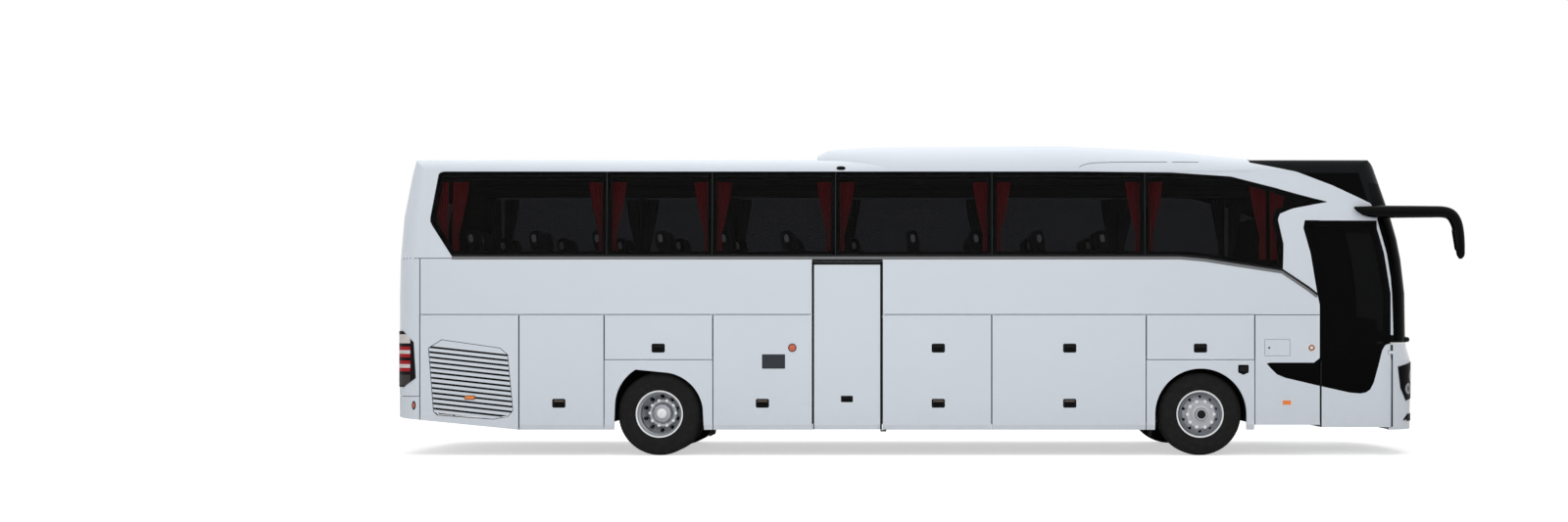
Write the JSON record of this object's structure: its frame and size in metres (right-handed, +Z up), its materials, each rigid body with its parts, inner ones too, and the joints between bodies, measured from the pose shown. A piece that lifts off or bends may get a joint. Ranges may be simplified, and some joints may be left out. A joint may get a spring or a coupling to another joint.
{
  "type": "touring coach",
  "caption": "Two-axle high-deck touring coach with hollow cabin and luggage holds, steered front wheels, twin rear wheels, hinged doors, side flaps and engine lid.",
  "frame": {"origin": "on the ground, under the centre of the whole outline with its mirrors", "axes": "+X forwards, +Y to the left-hand side, +Z up"},
  "size_m": [13.5, 2.791, 3.992],
  "materials": {
    "body_white": "gloss white coachwork",
    "gloss_black": "gloss black",
    "tinted_glass": "dark tinted glass",
    "clear_glass": "clear glass",
    "tyre": "worn black",
    "rim": "silver paint",
    "chassis_black": "satin black underbody",
    "housing_plastic": "matt black",
    "floor_cover": "grey floor covering",
    "seat_cloth": "dark cloth",
    "curtain_cloth": "dark red cloth",
    "cab_plastic": "grained dark grey",
    "rack_plastic": "grey",
    "lamp_clear": "clear lens",
    "lamp_red": "red lens",
    "engine_grey": "grey casting"
  },
  "bodies": {
    "coachwork": {"side_wall_right": "body_white", "side_wall_left": "body_white", "side_glass": "tinted_glass", "wheel_panels": "body_white", "wheel_housings": "housing_plastic", "roof_shell": "body_white", "roof_fairing": "body_white", "rear_axle": "chassis_black", "front_axle": "chassis_black", "cabin_floor": "floor_cover", "luggage_bay": "chassis_black", "chassis_frame": "chassis_black", "front_frame": "gloss_black", "windscreen": "clear_glass", "front_mask": "body_white", "cab_side_left": "body_white", "rear_window": "tinted_glass", "rear_bumper": "body_white", "rear_wall": "body_white", "mirrors": "gloss_black", "headlamps": "lamp_clear", "tail_lamps": "lamp_red", "passenger_seats": "seat_cloth", "luggage_racks": "rack_plastic", "cab_floor": "floor_cover", "dashboard": "cab_plastic", "steering_wheel": "cab_plastic", "driver_seat": "seat_cloth", "curtains": "curtain_cloth", "engine": "engine_grey", "fuel_tank": "chassis_black"},
    "front_wheel_right": {"front_tyre_right": "tyre", "front_rim_right": "rim"},
    "front_wheel_left": {"front_tyre_left": "tyre", "front_rim_left": "rim"},
    "rear_wheels_right": {"rear_tyres_right": "tyre", "rear_rims_right": "rim"},
    "rear_wheels_left": {"rear_tyres_left": "tyre", "rear_rims_left": "rim"},
    "knuckle_right": {"steering_knuckle_right": "chassis_black"},
    "knuckle_left": {"steering_knuckle_left": "chassis_black"},
    "front_door": {"front_door": "gloss_black", "front_door_glass": "tinted_glass"},
    "middle_door": {"middle_door": "body_white"},
    "engine_lid": {"engine_lid": "body_white"},
    "fuel_flap": {"fuel_flap": "body_white"},
    "engine_flap_right": {"engine_flap_right": "body_white"},
    "service_flap_right": {"service_flap_right": "body_white"},
    "rear_wheel_flap_right": {"rear_wheel_flap_right": "body_white"},
    "rear_luggage_flap_right": {"rear_luggage_flap_right": "body_white"},
    "mid_luggage_flap_right": {"mid_luggage_flap_right": "body_white"},
    "front_luggage_flap_right": {"front_luggage_flap_right": "body_white"},
    "front_wheel_flap_right": {"front_wheel_flap_right": "body_white"},
    "engine_flap_left": {"engine_flap_left": "body_white"},
    "service_flap_left": {"service_flap_left": "body_white"},
    "rear_wheel_flap_left": {"rear_wheel_flap_left": "body_white"},
    "rear_luggage_flap_left": {"rear_luggage_flap_left": "body_white"},
    "mid_luggage_flap_left": {"mid_luggage_flap_left": "body_white"},
    "front_luggage_flap_left": {"front_luggage_flap_left": "body_white"},
    "front_wheel_flap_left": {"front_wheel_flap_left": "body_white"}
  },
  "joints": [
    {"name": "steering_right", "type": "hinge", "parent": "coachwork", "child": "knuckle_right", "pos_m": [3.45, -0.925, 0.522], "axis": [0, 0, 1], "range_deg": [-40, 40]},
    {"name": "front_wheel_spin_right", "type": "hinge", "parent": "knuckle_right", "child": "front_wheel_right", "pos_m": [3.45, -1.085, 0.522], "axis": [0, 1, 0], "continuous": true},
    {"name": "rear_wheel_spin_right", "type": "hinge", "parent": "coachwork", "child": "rear_wheels_right", "pos_m": [-3.36, -0.9175, 0.522], "axis": [0, 1, 0], "continuous": true},
    {"name": "steering_left", "type": "hinge", "parent": "coachwork", "child": "knuckle_left", "pos_m": [3.45, 0.925, 0.522], "axis": [0, 0, 1], "range_deg": [-40, 40]},
    {"name": "front_wheel_spin_left", "type": "hinge", "parent": "knuckle_left", "child": "front_wheel_left", "pos_m": [3.45, 1.085, 0.522], "axis": [0, 1, 0], "continuous": true},
    {"name": "rear_wheel_spin_left", "type": "hinge", "parent": "coachwork", "child": "rear_wheels_left", "pos_m": [-3.36, 0.9175, 0.522], "axis": [0, 1, 0], "continuous": true},
    {"name": "front_door_hinge", "type": "hinge", "parent": "coachwork", "child": "front_door", "pos_m": [5.819, -1.25, 1], "axis": [0, 0, 1], "range_deg": [0, 90]},
    {"name": "middle_door_hinge", "type": "hinge", "parent": "coachwork", "child": "middle_door", "pos_m": [-0.567, -1.266, 1.4], "axis": [0, 0, 1], "range_deg": [0, 90]},
    {"name": "engine_lid_hinge", "type": "hinge", "parent": "coachwork", "child": "engine_lid", "pos_m": [-6.742, 0, 1.768], "axis": [0, 1, 0], "range_deg": [0, 80]},
    {"name": "engine_flap_hinge_right", "type": "hinge", "parent": "coachwork", "child": "engine_flap_right", "pos_m": [-5.737, -1.27, 1.768], "axis": [-1, 0, 0], "range_deg": [0, 88]},
    {"name": "service_flap_hinge_right", "type": "hinge", "parent": "coachwork", "child": "service_flap_right", "pos_m": [-4.579, -1.27, 1.768], "axis": [-1, 0, 0], "range_deg": [0, 88]},
    {"name": "rear_wheel_flap_hinge_right", "type": "hinge", "parent": "coachwork", "child": "rear_wheel_flap_right", "pos_m": [-3.362, -1.27, 1.768], "axis": [-1, 0, 0], "range_deg": [0, 88]},
    {"name": "rear_luggage_flap_hinge_right", "type": "hinge", "parent": "coachwork", "child": "rear_luggage_flap_right", "pos_m": [-2.054, -1.27, 1.768], "axis": [-1, 0, 0], "range_deg": [0, 88]},
    {"name": "mid_luggage_flap_hinge_right", "type": "hinge", "parent": "coachwork", "child": "mid_luggage_flap_right", "pos_m": [0.136, -1.27, 1.768], "axis": [-1, 0, 0], "range_deg": [0, 88]},
    {"name": "front_luggage_flap_hinge_right", "type": "hinge", "parent": "coachwork", "child": "front_luggage_flap_right", "pos_m": [1.7935, -1.27, 1.768], "axis": [-1, 0, 0], "range_deg": [0, 88]},
    {"name": "front_wheel_flap_hinge_right", "type": "hinge", "parent": "coachwork", "child": "front_wheel_flap_right", "pos_m": [3.4445, -1.27, 1.768], "axis": [-1, 0, 0], "range_deg": [0, 88]},
    {"name": "engine_flap_hinge_left", "type": "hinge", "parent": "coachwork", "child": "engine_flap_left", "pos_m": [-5.737, 1.27, 1.768], "axis": [1, 0, 0], "range_deg": [0, 88]},
    {"name": "service_flap_hinge_left", "type": "hinge", "parent": "coachwork", "child": "service_flap_left", "pos_m": [-4.579, 1.27, 1.768], "axis": [1, 0, 0], "range_deg": [0, 88]},
    {"name": "rear_wheel_flap_hinge_left", "type": "hinge", "parent": "coachwork", "child": "rear_wheel_flap_left", "pos_m": [-3.362, 1.27, 1.768], "axis": [1, 0, 0], "range_deg": [0, 88]},
    {"name": "rear_luggage_flap_hinge_left", "type": "hinge", "parent": "coachwork", "child": "rear_luggage_flap_left", "pos_m": [-1.6155, 1.27, 1.768], "axis": [1, 0, 0], "range_deg": [0, 88]},
    {"name": "mid_luggage_flap_hinge_left", "type": "hinge", "parent": "coachwork", "child": "mid_luggage_flap_left", "pos_m": [0.136, 1.27, 1.768], "axis": [1, 0, 0], "range_deg": [0, 88]},
    {"name": "front_luggage_flap_hinge_left", "type": "hinge", "parent": "coachwork", "child": "front_luggage_flap_left", "pos_m": [1.7935, 1.27, 1.768], "axis": [1, 0, 0], "range_deg": [0, 88]},
    {"name": "front_wheel_flap_hinge_left", "type": "hinge", "parent": "coachwork", "child": "front_wheel_flap_left", "pos_m": [3.4445, 1.27, 1.768], "axis": [1, 0, 0], "range_deg": [0, 88]},
    {"name": "fuel_flap_hinge", "type": "hinge", "parent": "coachwork", "child": "fuel_flap", "pos_m": [4.56, -1.269, 1.36], "axis": [0, 0, 1], "range_deg": [0, 90]}
  ],
  "couplings": [
    {"joint": "steering_left", "follows": "steering_right", "ratio": 1}
  ]
}
